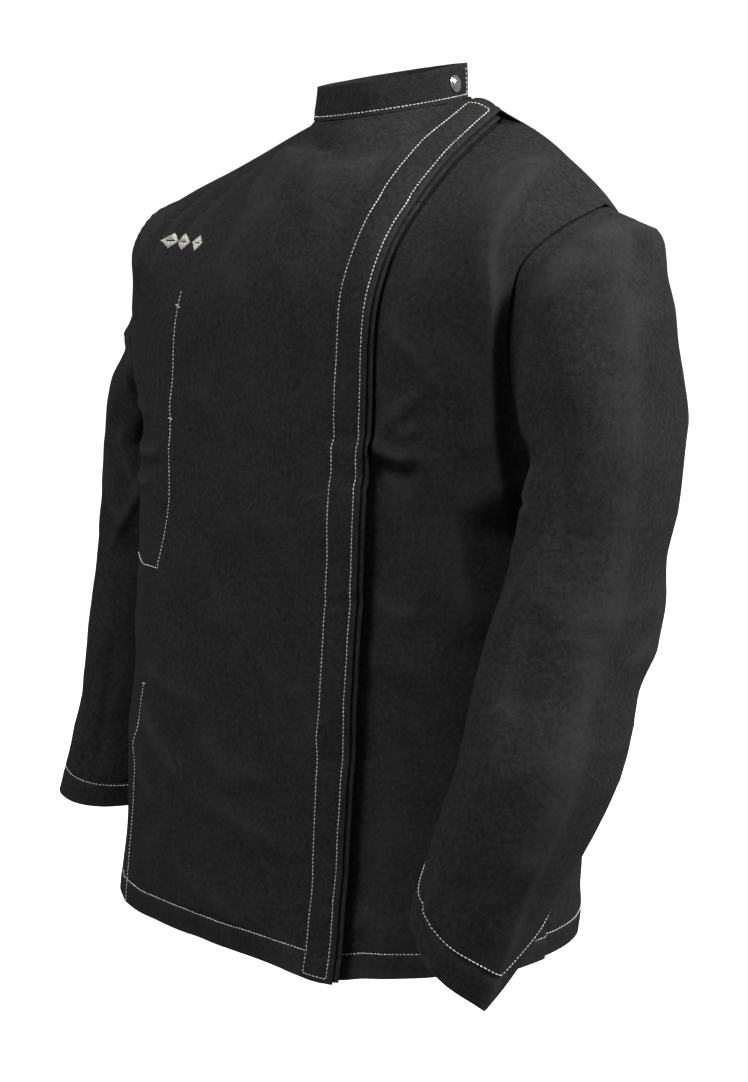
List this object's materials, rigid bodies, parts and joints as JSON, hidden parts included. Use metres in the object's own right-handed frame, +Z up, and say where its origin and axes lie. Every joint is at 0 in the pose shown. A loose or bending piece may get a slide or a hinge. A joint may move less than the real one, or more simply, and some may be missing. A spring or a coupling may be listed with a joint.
{
  "type": "welding jacket",
  "caption": "Long-sleeved welder's work jacket with a stand collar, an asymmetric lapped front closed by snaps, open cuffs and a straight hem.",
  "frame": {"origin": "centre of the neck opening at the level of the collar seam, where a hanger's hook comes out", "axes": "+Z up, the front of the jacket faces -Y, the wearer's left is +X"},
  "size_m": [0.6834, 0.3501, 0.7627],
  "materials": {
    "shell_cloth": "matte black woven cotton with a flame resistant finish",
    "lining_cloth": "matte black cotton facing, wrong side of the shell cloth",
    "thread": "off-white aramid thread and tape",
    "webbing": "black folded cotton tape",
    "snap_chrome": "polished domed cap",
    "snap_steel": "nickel plated"
  },
  "bodies": {
    "torso": {"back_panel": "shell_cloth", "back_hem_facing": "lining_cloth", "back_neck_facing": "lining_cloth", "neck_label": "thread", "right_front_side": "shell_cloth", "right_side_hem_facing": "lining_cloth", "right_vent_facing": "lining_cloth", "inner_pocket": "lining_cloth", "left_front_side": "shell_cloth", "left_side_hem_facing": "lining_cloth", "left_vent_facing": "lining_cloth", "collar_back_outer": "shell_cloth", "collar_back_lining": "lining_cloth", "collar_snap_stud": "snap_steel", "hang_loop": "webbing"},
    "front_flap": {"right_front_flap": "shell_cloth", "placket_strip": "shell_cloth", "fly_underlay": "lining_cloth", "flap_hem_facing": "lining_cloth", "collar_front_outer": "shell_cloth", "collar_front_lining": "lining_cloth", "collar_snap_cap": "snap_chrome", "collar_snap_socket": "snap_steel", "placket_socket_1": "snap_steel", "placket_socket_2": "snap_steel", "placket_socket_3": "snap_steel", "placket_socket_4": "snap_steel", "placket_socket_5": "snap_steel"},
    "left_lap": {"left_front_lap": "shell_cloth", "stud_facing": "lining_cloth", "lap_hem_facing": "lining_cloth", "placket_stud_1": "snap_steel", "placket_stud_2": "snap_steel", "placket_stud_3": "snap_steel", "placket_stud_4": "snap_steel", "placket_stud_5": "snap_steel"},
    "left_upper_sleeve": {"left_sleeve_upper_top": "shell_cloth", "left_sleeve_upper_under": "shell_cloth"},
    "left_forearm": {"left_sleeve_forearm_top": "shell_cloth", "left_sleeve_forearm_under": "shell_cloth", "left_sleeve_cuff_facing_top": "lining_cloth", "left_sleeve_cuff_facing_under": "lining_cloth"},
    "right_upper_sleeve": {"right_sleeve_upper_top": "shell_cloth", "right_sleeve_upper_under": "shell_cloth"},
    "right_forearm": {"right_sleeve_forearm_top": "shell_cloth", "right_sleeve_forearm_under": "shell_cloth", "right_sleeve_cuff_facing_top": "lining_cloth", "right_sleeve_cuff_facing_under": "lining_cloth"}
  },
  "joints": [
    {"name": "flap_open", "type": "hinge", "parent": "torso", "child": "front_flap", "pos_m": [-0.104, -0.1588, -0.1956], "axis": [0, -0.0714, -0.9974], "range_deg": [0, 75]},
    {"name": "lap_open", "type": "hinge", "parent": "torso", "child": "left_lap", "pos_m": [0.1471, -0.1378, -0.1933], "axis": [0, 0.073, 0.9973], "range_deg": [0, 22.5]},
    {"name": "left_sleeve_raise", "type": "hinge", "parent": "torso", "child": "left_upper_sleeve", "pos_m": [0.2465, -0.015, -0.071], "axis": [0, -1, 0], "range_deg": [0, 50]},
    {"name": "left_elbow_bend", "type": "hinge", "parent": "left_upper_sleeve", "child": "left_forearm", "pos_m": [0.2847, -0.1339, -0.43], "axis": [-1, 0, 0], "range_deg": [0, 60]},
    {"name": "right_sleeve_raise", "type": "hinge", "parent": "torso", "child": "right_upper_sleeve", "pos_m": [-0.2465, 0.004, -0.071], "axis": [0, 1, 0], "range_deg": [0, 50]},
    {"name": "right_elbow_bend", "type": "hinge", "parent": "right_upper_sleeve", "child": "right_forearm", "pos_m": [-0.2832, -0.0503, -0.43], "axis": [-1, 0, 0], "range_deg": [0, 60]}
  ],
  "couplings": [
    {"joint": "lap_open", "follows": "flap_open", "ratio": 0.3}
  ]
}
